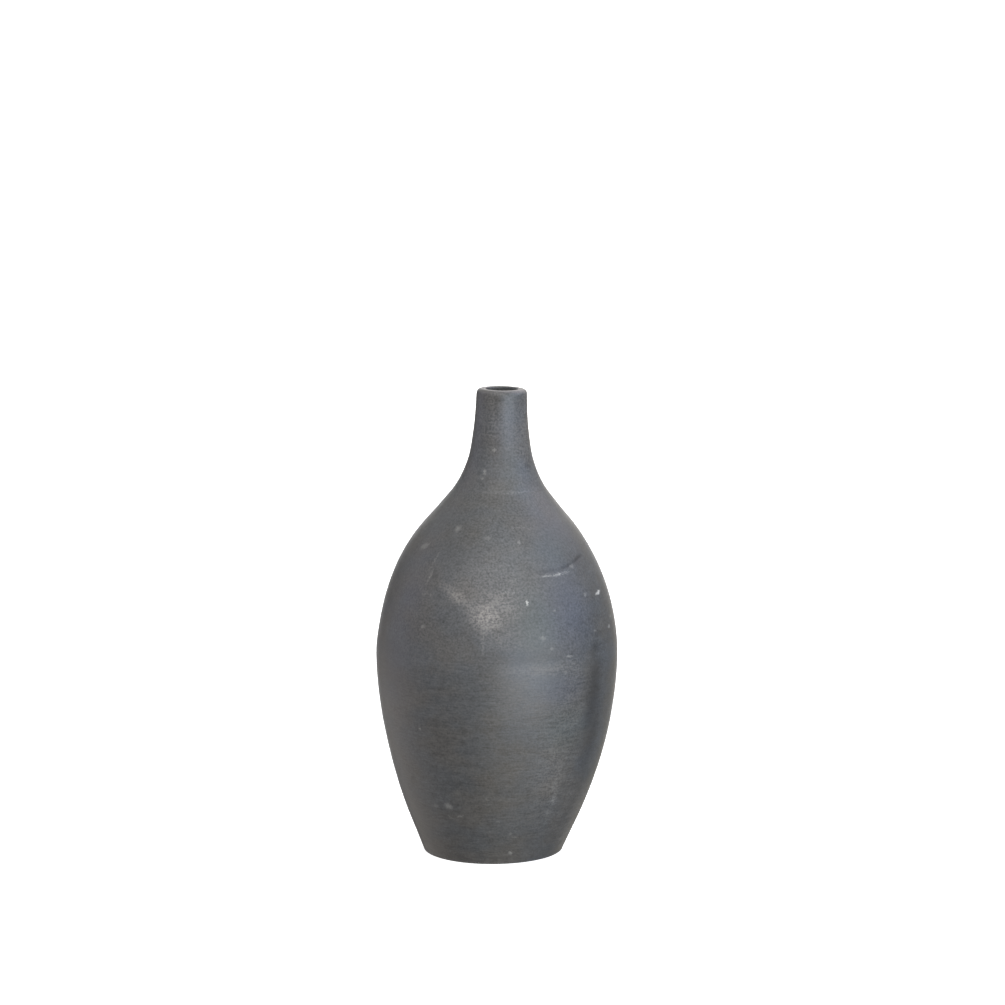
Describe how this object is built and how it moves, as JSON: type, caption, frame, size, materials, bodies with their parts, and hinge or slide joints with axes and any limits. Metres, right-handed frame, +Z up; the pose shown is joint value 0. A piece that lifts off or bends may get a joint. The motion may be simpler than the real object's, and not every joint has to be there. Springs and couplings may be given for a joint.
{
  "type": "stoneware vase",
  "caption": "Dark grey stoneware bottle vase: narrow neck, sloping shoulder, egg-shaped belly and flat turned foot. Holds water and a few stems.",
  "frame": {"origin": "on the surface that the vase stands on, under the middle of the belly", "axes": "+Z up through the neck, -Y towards the viewer of the front, +X to the viewer's right"},
  "size_m": [0.1551, 0.155, 0.3],
  "materials": {
    "stoneware": "dark grey, satin to matt, fine horizontal turning lines and small pits",
    "seam_slip": "the same clay rubbed smooth, a little lighter",
    "liner_glaze": "glossy dark brown liner glaze"
  },
  "bodies": {
    "root": {"lower_body": "stoneware", "belly_seam": "seam_slip", "upper_body": "stoneware", "neck_seam": "seam_slip", "neck": "stoneware", "inside_glaze": "liner_glaze"}
  },
  "joints": []
}
